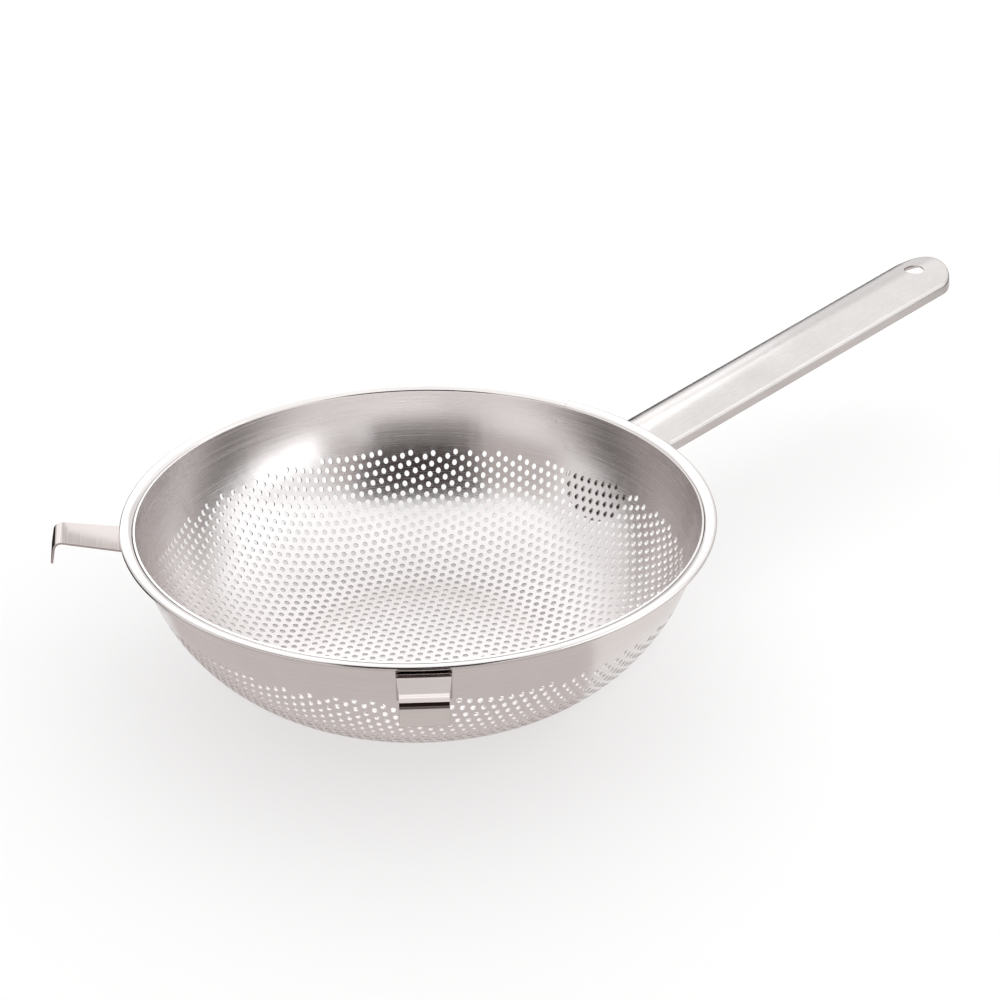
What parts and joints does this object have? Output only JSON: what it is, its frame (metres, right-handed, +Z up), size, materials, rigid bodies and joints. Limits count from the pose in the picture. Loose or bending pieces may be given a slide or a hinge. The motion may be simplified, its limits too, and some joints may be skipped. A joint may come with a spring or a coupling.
{
  "type": "perforated strainer",
  "caption": "Deep round perforated steel strainer with a folded rim band, a long channel handle with a hanging hole and pot hooks on the far side of the rim.",
  "frame": {"origin": "centre of the outside of the flat base, on the table", "axes": "+X along the handle, seen from above, +Z up out of the bowl, +Y to the left of the handle"},
  "size_m": [0.4451, 0.215, 0.0759],
  "materials": {
    "bowl_steel": "satin pressed stainless sheet with fine round perforation",
    "rim_steel": "bright folded stainless strip",
    "handle_steel": "polished pressed stainless sheet with fine lengthwise grain",
    "hook_steel": "mirror polished stainless strip"
  },
  "bodies": {
    "root": {"bowl": "bowl_steel", "rim_band": "rim_steel", "handle": "handle_steel", "left_hook": "hook_steel", "front_hook": "hook_steel"}
  },
  "joints": []
}
